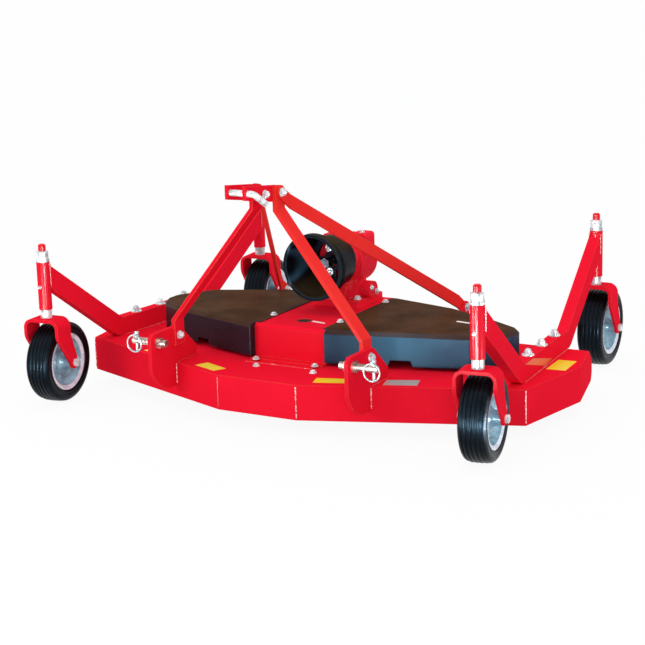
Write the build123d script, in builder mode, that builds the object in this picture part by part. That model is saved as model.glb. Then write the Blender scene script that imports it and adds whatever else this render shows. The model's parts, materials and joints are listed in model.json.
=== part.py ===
"""Finishing mower for a three-point hitch: a three-blade deck carried on four casters.

Millimetres. The tractor stands in front of the machine, towards -Y. X points to the right of
someone who stands in front and looks at the hitch, and left and right are used that way. Z is
up. The origin is on the ground, below the middle of the wheelbase, on the deck's centre plane.
"""
import os
from math import atan2, cos, hypot, radians, sin

from build123d import *

os.makedirs("parts", exist_ok=True)

# Wheels and casters
wheelbase = 1114.0
front_track = 1508.0
rear_track = 1310.0
wheel_radius = 130.0
tyre_width = 84.0
rim_radius = 92.0
rim_width = 76.0
trail = 49.0
hub_radius = 22.0
hub_clearance = 0.3
axle_radius = 8.0
axle_head = 10.0
axle_clearance = 0.08
fork_gap = 12.0
fork_plate = 10.0
fork_depth = 72.0
fork_end_radius = 20.0
fork_shoulder = 30.0
fork_sweep_radius = 40.0
crown_clearance = 13.0
spindle_radius = 15.0
spindle_clearance = 0.08
collar_radius = 18.0
collar_height = 28.0
seat_gap = 0.3
caster_tube_radius = 21.0
caster_tube_length = 153.0
top_collar_height = 8.0
spindle_neck = 24.0
spindle_neck_radius = 19.0
spindle_cap = 24.0
spindle_cap_radius = 12.0

# Deck
deck_top = 154.0
skirt_bottom = 45.0
deck_sheet = 4.0
rear_lip = 34.0
deck_front_half = 138.0
deck_front_y = -568.0
deck_shoulder_half = 777.0
deck_shoulder_y = -336.0
deck_side_half = 825.0
deck_side_y = -39.0
deck_rear_half = 777.0
deck_rear_y = 147.0
tail_length = 69.0
tail_top = 108.0
tail_bottom = 66.0

# Blades and their spindles
blade_radius = 262.0
blade_width = 60.0
blade_thickness = 6.0
blade_bottom = 66.0
blade_lift = 16.0
blade_lift_length = 90.0
side_blade_x = 510.0
side_blade_y = -116.0
centre_blade_y = -286.0
blade_hub_radius = 30.0
blade_hub_height = 20.0
blade_bolt_radius = 22.0
blade_bolt_height = 10.0
blade_shaft_radius = 15.0
blade_shaft_top = 205.0
housing_radius = 35.0
housing_flange_radius = 80.0
housing_flange = 6.0
housing_bottom = 95.0
housing_top = 190.0

# Belt tunnel, which carries the gearbox
tunnel_left = -146.0
tunnel_right = 112.0
tunnel_front = -336.0
tunnel_rear = 139.0
tunnel_top = 264.0
tunnel_sheet = 5.0
tunnel_foot = 30.0
tunnel_bend = 12.0
peephole_radius = 24.0
peephole_y = -246.0

# Belt covers
cover_top = 267.0
cover_bottom = 165.0
cover_wall = 3.0
cover_bevel = 11.0
cover_lap = 16.0
cover_notch_height = 18.0
cover_notch_flare = 8.0
cover_corner = 60.0

# Gearbox, its input shaft and the guard round it
gearbox_x = -20.0
gearbox_y = 44.0
gearbox_z = 419.0
gearbox_body_z = 405.0
gearbox_radius = 82.0
gearbox_length = 150.0
gearbox_flange = 12.0
gearbox_foot_width = 168.0
gearbox_foot_height = 22.0
stand_x = -8.0
stand_radius = 48.0
stand_rib = 10.0
stand_rib_reach = 20.0
stand_rib_height = 50.0
lug_depth = 60.0
boss_face_x = 73.0
boss_radius = 28.0
boss_z = 311.0
guard_front_y = -184.0
guard_length = 132.0
guard_mouth_radius = 107.0
guard_body_radius = 100.0
guard_rear_radius = 83.0
guard_wall = 4.0
guard_lip = 26.0
guard_window_radius = 62.0
shaft_radius = 17.45
shaft_root_radius = 14.9
shaft_bore_clearance = 0.08
shaft_length = 78.0
spline_length = 60.0
shaft_groove_width = 9.5
shaft_groove_y = 30.0

# Hitch plates, pins and the mast
plate_x = 345.0
plate_thickness = 12.0
plate_front_y = -624.0
plate_rear_y = -382.0
plate_top = 270.0
plate_foot = 81.0
plate_heel_height = 34.0
plate_slope_run = 84.0
plate_crest_run = 12.0
plate_crest_drop = 4.0
plate_nose_run = 16.0
plate_nose_drop = 14.0
plate_toe_run = 92.0
plate_toe_rise = 79.0
pin_y = -588.0
pin_z = 239.0
pin_radius = 11.0
pin_seat_x = 409.0
pin_tip_x = 432.0
pin_end_radius = 10.4
pin_inner_x = 306.0
pin_shoulder = 10.0
pin_shoulder_radius = 17.0
pin_nut = 17.0
pin_nut_radius = 17.0
linch_x = 417.0
linch_radius = 5.0
linch_clearance = 0.1
linch_below = 36.0
linch_head = 16.0
linch_head_radius = 7.0
linch_ring_radius = 26.0
linch_wire = 2.3
linch_ring_y = 14.5
leg_width = 50.0
leg_thickness = 12.0
leg_foot_y = -485.0
leg_head_y = -467.0
leg_foot_z = 214.0
leg_knee_z = 293.0
leg_neck_z = 658.0
leg_head_rise = 72.0
leg_head_corner = 18.0
mast_gap = 50.0
mast_plate = 10.0
mast_width = 42.0
mast_rear_width = 51.0
mast_front_y = -638.0
mast_front_z = 731.5
mast_rear_y = -470.0
mast_rear_z = 705.5
top_pin_y = -624.0
top_pin_z = 729.0
top_pin_radius = 9.5
top_pin_clearance = 0.08
top_pin_overhang = 6.0
top_pin_handle = 20.0
handle_run = 48.0
handle_drop = 36.0
brace_width = 35.0
brace_thickness = 8.0
brace_head_y = -470.0
brace_head_z = 711.0
brace_head_bend_y = -421.0
brace_foot_bend_y = 130.0
brace_foot_y = 162.0
brace_foot_z = 252.0
lug_x = 344.0
lug_thickness = 10.0
lug_front_y = 116.0
lug_shoulder_z = 238.0
lug_radius = 20.0

# Side beams
beam_width = 37.0
beam_height = 60.0
beam_wall = 3.5
beam_front_bend = 326.0
beam_rear_bend = 346.0
beam_front_rise = 239.0
beam_rear_rise = 239.0
beam_bend_radius = 55.0

# Values that follow from those above
front_post_y = -wheelbase / 2 - trail
rear_post_y = wheelbase / 2 - trail
crown_bottom = 2 * wheel_radius + crown_clearance
crown_top = crown_bottom + fork_plate
tube_bottom = crown_top + collar_height + seat_gap
tube_top = tube_bottom + caster_tube_length
fork_inner = tyre_width / 2 + fork_gap
fork_outer = fork_inner + fork_plate
deck_inside = deck_top - deck_sheet
blade_top = blade_bottom + blade_thickness
leg_foot_x = plate_x - plate_thickness / 2 - leg_thickness / 2
leg_head_z = leg_neck_z + leg_head_rise
mast_x = mast_gap / 2 + mast_plate / 2
leg_head_x = mast_gap / 2 + mast_plate + leg_thickness / 2
brace_head_x = leg_head_x + leg_thickness / 2 + brace_thickness / 2
brace_foot_x = lug_x - lug_thickness / 2 - brace_thickness / 2
gearbox_front_y = gearbox_y - gearbox_length / 2
shaft_tip_y = gearbox_front_y - shaft_length

# name, side, post x, post y, how far the caster has swung counter-clockwise from straight back
CASTERS = (
    ("front_left", -1, front_track / 2, front_post_y, 4.0),
    ("front_right", 1, front_track / 2, front_post_y, 8.5),
    ("rear_left", -1, rear_track / 2, rear_post_y, 6.0),
    ("rear_right", 1, rear_track / 2, rear_post_y, 3.0),
)

# name, x, y
BLADES = (
    ("left", -side_blade_x, side_blade_y),
    ("centre", 0.0, centre_blade_y),
    ("right", side_blade_x, side_blade_y),
)

SIDES = (("left", -1), ("right", 1))

# The deck's outline seen from above, on the right half: distance from the centre plane, y
DECK_HALF = (
    (deck_front_half, deck_front_y),
    (deck_shoulder_half, deck_shoulder_y),
    (deck_side_half, deck_side_y),
    (deck_rear_half, deck_rear_y),
)

# Each belt cover seen from above, from its inner front corner round: x, y
COVERS = {
    "left": (
        (tunnel_left, -364.0),
        (-500.0, -258.0),
        (-603.0, -181.0),
        (-603.0, -106.0),
        (-525.0, 13.0),
        (-287.0, 112.0),
        (tunnel_left, tunnel_rear),
    ),
    "right": (
        (tunnel_right, -350.0),
        (270.0, -312.0),
        (552.0, -238.0),
        (654.0, -165.0),
        (655.0, -86.0),
        (536.0, -14.0),
        (348.0, 80.0),
        (tunnel_right, tunnel_rear),
    ),
}

# side, the notch's first and last x along the front edge
NOTCHES = {"left": (-395.0, -345.0), "right": (314.0, 374.0)}

# The gearbox's two lugs: first x, last x, top
GEARBOX_LUGS = ((-95.0, -40.0, 490.0), (4.0, 64.0, 498.0))


def finish(part, name):
    part.label = name
    export_step(part, f"parts/{name}.step")


def deck_outline():
    right = list(DECK_HALF)
    left = [(-x, y) for x, y in reversed(DECK_HALF)]
    return right + left


# Deck: a folded shell, open below and behind, with a side panel that runs on past the rear edge
side_angle = atan2(deck_rear_y - deck_side_y, deck_rear_half - deck_side_half)
with BuildPart() as deck_shell:
    with BuildSketch(Plane.XY.offset(skirt_bottom)):
        with BuildLine():
            Polyline(*deck_outline(), close=True)
        make_face()
    extrude(amount=deck_top - skirt_bottom)
    with BuildSketch(Plane.XY.offset(skirt_bottom)):
        with BuildLine():
            Polyline(*deck_outline(), close=True)
        make_face()
        offset(amount=-deck_sheet, kind=Kind.INTERSECTION)
    extrude(amount=deck_inside - skirt_bottom, mode=Mode.SUBTRACT)
    with BuildSketch(Plane.XZ.offset(-deck_rear_y - deck_sheet)):
        with Locations((0, (skirt_bottom + deck_top - rear_lip) / 2)):
            Rectangle(2 * (deck_rear_half - deck_sheet), deck_top - rear_lip - skirt_bottom)
    extrude(amount=3 * deck_sheet, mode=Mode.SUBTRACT)
    for side in (-1, 1):
        # the panel's own plane: along the side edge and up
        panel = Plane(
            origin=(side * deck_rear_half, deck_rear_y, 0),
            x_dir=(side * cos(side_angle), sin(side_angle), 0),
            z_dir=(sin(side_angle), -side * cos(side_angle), 0),
        )
        with BuildSketch(panel):
            with BuildLine():
                Polyline(
                    (-deck_sheet, deck_top),
                    (0, deck_top),
                    (tail_length, tail_top),
                    (tail_length, tail_bottom),
                    (tail_length - tail_bottom + skirt_bottom, skirt_bottom),
                    (-deck_sheet, skirt_bottom),
                    close=True,
                )
            make_face()
        extrude(amount=-side * deck_sheet)
    with BuildSketch(Plane.XY.offset(deck_inside)):
        with Locations(*[(x, y) for _, x, y in BLADES]):
            Circle(housing_radius + 1)
    extrude(amount=deck_sheet, mode=Mode.SUBTRACT)
    # upright lugs over the rear edge for the mast braces
    for side in (-1, 1):
        with BuildSketch(Plane.YZ.offset(side * lug_x - lug_thickness / 2)):
            with BuildLine():
                Polyline(
                    (lug_front_y, deck_inside),
                    (lug_front_y, lug_shoulder_z),
                    (brace_foot_y, brace_foot_z + lug_radius),
                    (brace_foot_y + lug_radius, brace_foot_z),
                    (brace_foot_y + lug_radius, deck_top - rear_lip),
                    (deck_rear_y - deck_sheet, deck_top - rear_lip),
                    (deck_rear_y - deck_sheet, deck_inside),
                    close=True,
                )
            make_face()
            with Locations((brace_foot_y, brace_foot_z)):
                Circle(lug_radius)
        extrude(amount=lug_thickness)
finish(deck_shell.part, "deck_shell")

# Belt tunnel: an inverted tray with a foot in front, which the gearbox stands on
tunnel_width = tunnel_right - tunnel_left
tunnel_middle = (tunnel_right + tunnel_left) / 2
with BuildPart() as belt_tunnel:
    with BuildSketch(Plane.XY.offset(deck_top)):
        with Locations((tunnel_middle, (tunnel_front + tunnel_rear) / 2)):
            Rectangle(tunnel_width, tunnel_rear - tunnel_front)
    extrude(amount=tunnel_top - deck_top)
    top_front = belt_tunnel.edges().filter_by(Axis.X).group_by(Axis.Z)[-1].sort_by(Axis.Y)[0]
    fillet(top_front, radius=tunnel_bend)
    with BuildSketch(Plane.XY.offset(deck_top)):
        with Locations((tunnel_middle, (tunnel_front + tunnel_rear) / 2)):
            Rectangle(tunnel_width - 2 * tunnel_sheet, tunnel_rear - tunnel_front - 2 * tunnel_sheet)
    extrude(amount=tunnel_top - tunnel_sheet - deck_top, mode=Mode.SUBTRACT)
    with BuildSketch(Plane.XY.offset(deck_top)):
        with Locations((tunnel_middle, tunnel_front - tunnel_foot / 2)):
            Rectangle(tunnel_width, tunnel_foot)
    extrude(amount=tunnel_sheet)
    with BuildSketch(Plane.XY.offset(tunnel_top - tunnel_sheet)):
        with Locations((tunnel_middle, peephole_y)):
            Circle(peephole_radius)
    extrude(amount=tunnel_sheet, mode=Mode.SUBTRACT)
finish(belt_tunnel.part, "belt_tunnel")

# Belt covers: thin shells with a bevelled top edge, a notch below and a flange on the tunnel
for name, side in SIDES:
    outline = COVERS[name]
    inner_x = outline[0][0]
    notch_from, notch_to = NOTCHES[name]
    lap_middle = inner_x - side * cover_lap / 2
    with BuildPart() as cover:
        with BuildSketch(Plane.XY.offset(cover_bottom)):
            with BuildLine():
                Polyline(*outline, close=True)
            make_face()
        extrude(amount=cover_top - cover_bottom)
        upright = cover.edges().filter_by(Axis.Z)
        rounded = [e for e in upright if abs(e.center().X - inner_x) > cover_corner]
        fillet(rounded, radius=cover_corner)
        top_face = cover.faces().sort_by(Axis.Z)[-1]
        rim = [e for e in top_face.edges() if abs(e.center().X - inner_x) > 1]
        chamfer(rim, length=cover_bevel)
        offset(amount=-cover_wall, openings=cover.faces().sort_by(Axis.Z)[0])
        with BuildSketch(Plane.XZ.offset(-outline[0][1] + cover_corner)):
            with BuildLine():
                Polyline(
                    (notch_from - cover_notch_flare, cover_bottom),
                    (notch_from, cover_bottom + cover_notch_height),
                    (notch_to, cover_bottom + cover_notch_height),
                    (notch_to + cover_notch_flare, cover_bottom),
                    close=True,
                )
            make_face()
        extrude(amount=outline[0][1] - 4 * cover_corner, mode=Mode.SUBTRACT)
        with BuildSketch(Plane.XY.offset(tunnel_top)):
            with Locations((lap_middle, (tunnel_front + tunnel_rear) / 2)):
                Rectangle(cover_lap, tunnel_rear - tunnel_front - 2 * tunnel_bend)
        extrude(amount=cover_top - tunnel_top)
    finish(cover.part, f"belt_cover_{name}")

# Gearbox: a round body on a ribbed column, with two lugs on top and a boss at the side
foot_top = tunnel_top + gearbox_foot_height
with BuildPart() as gearbox:
    with BuildSketch(Plane.XZ.offset(-gearbox_front_y)):
        with Locations((gearbox_x, gearbox_body_z)):
            Circle(gearbox_radius - gearbox_flange)
    extrude(amount=-gearbox_length)
    with BuildSketch(Plane.XZ.offset(-gearbox_front_y - 2 * gearbox_flange)):
        with Locations((gearbox_x, gearbox_body_z)):
            Circle(gearbox_radius)
    extrude(amount=-gearbox_length + 4 * gearbox_flange)
    with BuildSketch(Plane.XY.offset(tunnel_top)):
        with Locations((gearbox_x, gearbox_y)):
            RectangleRounded(gearbox_foot_width, gearbox_foot_width, gearbox_flange)
    extrude(amount=gearbox_foot_height)
    with BuildSketch(Plane.XY.offset(foot_top)):
        with Locations((stand_x, gearbox_y)):
            Circle(stand_radius)
    extrude(amount=gearbox_body_z - foot_top)
    # the seat round the shaft that the guard is bolted to
    with BuildSketch(Plane.XZ.offset(-gearbox_front_y)):
        with Locations((gearbox_x, gearbox_z)):
            Circle(guard_window_radius + 3 * guard_wall)
    extrude(amount=-2 * gearbox_flange)
    # four tapered ribs at the column's foot
    rib_foot = stand_radius + stand_rib_reach
    for upright_plane, middle, across in (
        (Plane.XZ, stand_x, -gearbox_y),
        (Plane.YZ, gearbox_y, stand_x),
    ):
        with BuildSketch(upright_plane.offset(across - stand_rib / 2)):
            with BuildLine():
                Polyline(
                    (middle - rib_foot, foot_top),
                    (middle - stand_radius + stand_rib, foot_top + stand_rib_height),
                    (middle + stand_radius - stand_rib, foot_top + stand_rib_height),
                    (middle + rib_foot, foot_top),
                    close=True,
                )
            make_face()
        extrude(amount=stand_rib)
    for lug_from, lug_to, lug_top in GEARBOX_LUGS:
        with BuildSketch(Plane.XZ.offset(-gearbox_y - lug_depth / 2)):
            with Locations(((lug_from + lug_to) / 2, (gearbox_body_z + lug_top) / 2)):
                RectangleRounded(lug_to - lug_from, lug_top - gearbox_body_z, gearbox_flange)
        extrude(amount=lug_depth)
    with BuildSketch(Plane.YZ.offset(stand_x)):
        with Locations((gearbox_y, boss_z)):
            Circle(boss_radius)
    extrude(amount=boss_face_x - stand_x)
    with BuildSketch(Plane.XZ.offset(-gearbox_front_y)):
        with Locations((gearbox_x, gearbox_z)):
            Circle(shaft_radius + shaft_bore_clearance)
    extrude(amount=-gearbox_length / 3, mode=Mode.SUBTRACT)
finish(gearbox.part, "gearbox")

# Input shaft: six splines and a groove for the coupling's lock
with BuildPart() as input_shaft:
    with BuildSketch(Plane.XZ.offset(-shaft_tip_y)):
        with Locations((gearbox_x, gearbox_z)):
            Circle(shaft_radius)
    extrude(amount=-shaft_length - gearbox_length / 3 + seat_gap)
    with BuildSketch(Plane.XZ.offset(-shaft_tip_y)):
        with Locations((gearbox_x, gearbox_z)):
            with PolarLocations(shaft_radius, 6):
                Rectangle(2 * (shaft_radius - shaft_root_radius), shaft_groove_width)
    extrude(amount=-spline_length, mode=Mode.SUBTRACT)
    with BuildSketch(Plane.XZ.offset(-shaft_tip_y - shaft_groove_y)):
        with Locations((gearbox_x, gearbox_z)):
            Circle(shaft_radius)
            Circle(shaft_root_radius, mode=Mode.SUBTRACT)
    extrude(amount=-shaft_groove_width, mode=Mode.SUBTRACT)
finish(input_shaft.part, "input_shaft")

# Guard: a bell round the shaft, open at both ends
guard_back_y = guard_front_y + guard_length
guard_plane = Plane(origin=(gearbox_x, 0, gearbox_z), x_dir=(1, 0, 0), z_dir=(0, 0, 1))
with BuildPart() as pto_guard:
    with BuildSketch(guard_plane):
        with BuildLine():
            Polyline(
                (guard_mouth_radius, guard_front_y),
                (guard_mouth_radius, guard_front_y + guard_lip),
                (guard_body_radius, guard_front_y + guard_lip),
                (guard_rear_radius, guard_back_y),
                (guard_rear_radius - guard_wall, guard_back_y),
                (guard_body_radius - guard_wall, guard_front_y + guard_lip),
                (guard_body_radius - guard_wall, guard_front_y),
                close=True,
            )
        make_face()
    revolve(axis=Axis((gearbox_x, 0, gearbox_z), (0, 1, 0)))
finish(pto_guard.part, "pto_guard")

# Guard plate: a disc with four windows behind the bell, seated on the gearbox by a spacer ring
plate_back_y = guard_back_y + guard_wall
with BuildPart() as guard_plate:
    with BuildSketch(Plane.XZ.offset(-guard_back_y)):
        with Locations((gearbox_x, gearbox_z)):
            Circle(guard_rear_radius)
            Circle(guard_window_radius, mode=Mode.SUBTRACT)
            Rectangle(2 * guard_window_radius + guard_wall, shaft_radius)
            Rectangle(shaft_radius, 2 * guard_window_radius + guard_wall)
            Circle(shaft_radius + 4 * guard_wall)
            Circle(shaft_radius + guard_wall, mode=Mode.SUBTRACT)
    extrude(amount=-guard_wall)
    with BuildSketch(Plane.XZ.offset(-plate_back_y)):
        with Locations((gearbox_x, gearbox_z)):
            Circle(guard_window_radius + 2 * guard_wall)
            Circle(guard_window_radius, mode=Mode.SUBTRACT)
    extrude(amount=plate_back_y - gearbox_front_y)
finish(guard_plate.part, "guard_plate")


def beam_edge(drop, reach):
    """The beam's side seen square on, one edge of it: distance behind the front post, height."""
    base = deck_top + beam_height / 2
    length = hypot(front_track / 2 - rear_track / 2, rear_post_y - front_post_y)
    front_slope = atan2(beam_front_rise, beam_front_bend)
    rear_slope = atan2(beam_rear_rise, beam_rear_bend)
    front_mitre = drop * sin(front_slope / 2) / cos(front_slope / 2)
    rear_mitre = drop * sin(rear_slope / 2) / cos(rear_slope / 2)
    front_lift = drop / cos(front_slope)
    rear_lift = drop / cos(rear_slope)
    front_step = reach * sin(front_slope) / cos(front_slope)
    rear_step = reach * sin(rear_slope) / cos(rear_slope)
    return (
        (reach, base + beam_front_rise - front_step + front_lift),
        (beam_front_bend + front_mitre, base + drop),
        (length - beam_rear_bend - rear_mitre, base + drop),
        (length - reach, base + beam_rear_rise - rear_step + rear_lift),
    )


# Hitch plates: upright plates that stand on the deck and reach down in front of its skirt
for name, side in SIDES:
    with BuildPart() as hitch_plate:
        with BuildSketch(Plane.YZ.offset(side * plate_x - plate_thickness / 2)):
            with BuildLine():
                Polyline(
                    (plate_rear_y, deck_top),
                    (plate_rear_y, deck_top + plate_heel_height),
                    (plate_rear_y - plate_slope_run, plate_top - plate_crest_drop),
                    (plate_rear_y - plate_slope_run - plate_crest_run, plate_top),
                    (plate_front_y + plate_nose_run, plate_top),
                    (plate_front_y, plate_top - plate_nose_drop),
                    (plate_front_y, plate_foot + plate_toe_rise),
                )
                ThreePointArc(
                    (plate_front_y, plate_foot + plate_toe_rise),
                    (plate_front_y + 0.35 * plate_toe_run, plate_foot + 0.34 * plate_toe_rise),
                    (plate_front_y + plate_toe_run, plate_foot),
                )
                Polyline(
                    (plate_front_y + plate_toe_run, plate_foot),
                    (plate_rear_y, plate_foot),
                    (plate_rear_y, deck_top),
                )
            make_face()
        extrude(amount=plate_thickness)
        with BuildSketch(Plane.XY.offset(skirt_bottom)):
            with BuildLine():
                Polyline(*deck_outline(), close=True)
            make_face()
        extrude(amount=deck_top - skirt_bottom, mode=Mode.SUBTRACT)
        with BuildSketch(Plane.YZ.offset(side * plate_x - plate_thickness / 2)):
            with Locations((pin_y, pin_z)):
                Circle(pin_radius)
        extrude(amount=plate_thickness, mode=Mode.SUBTRACT)
    finish(hitch_plate.part, f"hitch_plate_{name}")

# Lower hitch pins: a shouldered pin held by a nut behind the plate, turned down at the linch pin
for name, side in SIDES:
    face_x = plate_x + plate_thickness / 2
    back_x = plate_x - plate_thickness / 2
    with BuildPart() as lower_pin:
        with BuildSketch(Plane.YZ.offset(side * pin_inner_x)):
            with Locations((pin_y, pin_z)):
                Circle(pin_radius)
        extrude(amount=side * (pin_seat_x - pin_inner_x))
        with BuildSketch(Plane.YZ.offset(side * pin_seat_x)):
            with Locations((pin_y, pin_z)):
                Circle(pin_end_radius)
        extrude(amount=side * (pin_tip_x - pin_seat_x))
        chamfer(lower_pin.faces().sort_by(Axis.X)[-1 if side > 0 else 0].edges(), length=3)
        with BuildSketch(Plane.YZ.offset(side * face_x)):
            with Locations((pin_y, pin_z)):
                Circle(pin_shoulder_radius)
        extrude(amount=side * pin_shoulder)
        with BuildSketch(Plane.YZ.offset(side * (back_x - pin_nut))):
            with Locations((pin_y, pin_z)):
                RegularPolygon(pin_nut_radius, 6)
        extrude(amount=side * pin_nut)
        with BuildSketch(Plane.XY.offset(pin_z - 2 * pin_radius)):
            with Locations((side * linch_x, pin_y)):
                Circle(linch_radius + linch_clearance)
        extrude(amount=4 * pin_radius, mode=Mode.SUBTRACT)
    finish(lower_pin.part, f"lower_pin_{name}")

# Linch pins: a pin through the hitch pin, its head and the wire ring that hangs in front
for name, side in SIDES:
    head_z = pin_z + pin_end_radius + seat_gap
    ring_y = pin_y - linch_ring_y
    ring_z = head_z + linch_head / 2 - linch_ring_radius
    with BuildPart() as linch_pin:
        with BuildSketch(Plane.XY.offset(pin_z - linch_below)):
            with Locations((side * linch_x, pin_y)):
                Circle(linch_radius)
        extrude(amount=linch_below + pin_end_radius + linch_head)
        chamfer(linch_pin.faces().sort_by(Axis.Z)[0].edges(), length=2)
        with BuildSketch(Plane.XY.offset(head_z)):
            with Locations((side * linch_x, pin_y)):
                Circle(linch_head_radius)
        extrude(amount=linch_head)
        with BuildSketch(Plane.XZ.offset(-pin_y)):
            with Locations((side * linch_x, head_z + linch_head / 2)):
                Circle(linch_radius)
        extrude(amount=linch_ring_y)
        ring_plane = Plane(
            origin=(side * linch_x, ring_y, ring_z), x_dir=(1, 0, 0), z_dir=(0, 0, 1)
        )
        with BuildSketch(ring_plane):
            with Locations((linch_ring_radius, 0)):
                Circle(linch_wire)
        revolve(axis=Axis((side * linch_x, ring_y, ring_z), (0, 1, 0)))
    finish(linch_pin.part, f"linch_pin_{name}")

# Mast legs: flat bars, upright at both ends, that lean in and back from the plates to the top
for name, side in SIDES:
    foot_x = side * leg_foot_x
    head_x = side * leg_head_x
    # corners of the bar's centre line: x, y, z
    stations = (
        (foot_x, leg_foot_y, leg_foot_z),
        (foot_x, leg_foot_y, leg_knee_z),
        (head_x, leg_head_y, leg_neck_z),
        (head_x, leg_head_y, leg_head_z),
    )
    lean = atan2(leg_foot_x - leg_head_x, leg_neck_z - leg_knee_z)
    mitre = leg_thickness / 2 * sin(lean / 2) / cos(lean / 2)
    with BuildPart() as mast_leg:
        with BuildSketch(Plane.XZ.offset(-leg_foot_y + leg_width)):
            with BuildLine():
                Polyline(
                    (side * (leg_foot_x + leg_thickness / 2), leg_foot_z),
                    (side * (leg_foot_x + leg_thickness / 2), leg_knee_z + mitre),
                    (side * (leg_head_x + leg_thickness / 2), leg_neck_z + mitre),
                    (side * (leg_head_x + leg_thickness / 2), leg_head_z),
                    (side * (leg_head_x - leg_thickness / 2), leg_head_z),
                    (side * (leg_head_x - leg_thickness / 2), leg_neck_z - mitre),
                    (side * (leg_foot_x - leg_thickness / 2), leg_knee_z - mitre),
                    (side * (leg_foot_x - leg_thickness / 2), leg_foot_z),
                    close=True,
                )
            make_face()
        extrude(amount=-3 * leg_width)
        with BuildSketch(Plane.YZ.offset(-plate_x)) as leg_side:
            with BuildLine():
                front = [(y - leg_width / 2, z) for _, y, z in stations]
                rear = [(y + leg_width / 2, z) for _, y, z in reversed(stations)]
                Polyline(*front, *rear, close=True)
            make_face()
            rear_corner = leg_side.vertices().sort_by(lambda v: v.X + v.Y)[-1]
            fillet(rear_corner, radius=leg_head_corner)
        extrude(amount=2 * plate_x, mode=Mode.INTERSECT)
    finish(mast_leg.part, f"mast_leg_{name}")

# Mast plates: two sloping flat bars, the clevis that takes the tractor's top link
for name, side in SIDES:
    with BuildPart() as mast_side:
        with BuildSketch(Plane.YZ.offset(side * mast_x - mast_plate / 2)):
            with BuildLine():
                Polyline(
                    (mast_front_y, mast_front_z + mast_width / 2),
                    (mast_rear_y, mast_rear_z + mast_rear_width / 2),
                    (mast_rear_y, mast_rear_z - mast_rear_width / 2),
                    (mast_front_y, mast_front_z - mast_width / 2),
                    close=True,
                )
            make_face()
            with Locations((mast_rear_y, mast_rear_z)):
                Circle(mast_rear_width / 2)
            with Locations((top_pin_y, top_pin_z)):
                Circle(top_pin_radius + top_pin_clearance, mode=Mode.SUBTRACT)
        extrude(amount=mast_plate)
    finish(mast_side.part, f"mast_plate_{name}")

# Top link pin with its bent handle
outer_x = mast_gap / 2 + mast_plate
handle_x = outer_x + top_pin_handle
with BuildPart() as top_link_pin:
    with BuildLine():
        FilletPolyline(
            (-outer_x - top_pin_overhang, top_pin_y, top_pin_z),
            (handle_x, top_pin_y, top_pin_z),
            (handle_x + top_pin_handle / 2, top_pin_y + handle_run, top_pin_z - handle_drop),
            radius=1.2 * top_pin_radius,
        )
    with BuildSketch(Plane.YZ.offset(-outer_x - top_pin_overhang)):
        with Locations((top_pin_y, top_pin_z)):
            Circle(top_pin_radius)
    sweep()
finish(top_link_pin.part, "top_link_pin")

# Mast braces: flat bars from the mast's top back to the lugs, bent so that both ends lie flat
brace_slope = atan2(brace_head_z - brace_foot_z, brace_foot_y - brace_head_y)
brace_rise_y = brace_width / 2 * sin(brace_slope)
brace_rise_z = brace_width / 2 * cos(brace_slope)
splay = atan2(brace_foot_x - brace_head_x, brace_foot_bend_y - brace_head_bend_y)
for name, side in SIDES:
    half = brace_thickness / 2
    mitre = half * sin(splay / 2) / cos(splay / 2)
    with BuildPart() as mast_brace:
        # seen from above
        with BuildSketch(Plane.XY.offset(brace_foot_z - brace_width)):
            with BuildLine():
                Polyline(
                    (side * (brace_head_x + half), brace_head_y - brace_width),
                    (side * (brace_head_x + half), brace_head_bend_y - mitre),
                    (side * (brace_foot_x + half), brace_foot_bend_y - mitre),
                    (side * (brace_foot_x + half), brace_foot_y + brace_width),
                    (side * (brace_foot_x - half), brace_foot_y + brace_width),
                    (side * (brace_foot_x - half), brace_foot_bend_y + mitre),
                    (side * (brace_head_x - half), brace_head_bend_y + mitre),
                    (side * (brace_head_x - half), brace_head_y - brace_width),
                    close=True,
                )
            make_face()
        extrude(amount=brace_head_z - brace_foot_z + 2 * brace_width)
        # seen from the side
        with BuildSketch(Plane.YZ.offset(-brace_foot_x - brace_width)):
            with BuildLine():
                Polyline(
                    (brace_head_y + brace_rise_y, brace_head_z + brace_rise_z),
                    (brace_foot_y + brace_rise_y, brace_foot_z + brace_rise_z),
                    (brace_foot_y - brace_rise_y, brace_foot_z - brace_rise_z),
                    (brace_head_y - brace_rise_y, brace_head_z - brace_rise_z),
                    close=True,
                )
            make_face()
            with Locations((brace_head_y, brace_head_z), (brace_foot_y, brace_foot_z)):
                Circle(brace_width / 2)
        extrude(amount=2 * brace_foot_x + 2 * brace_width, mode=Mode.INTERSECT)
    finish(mast_brace.part, f"mast_brace_{name}")

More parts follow.
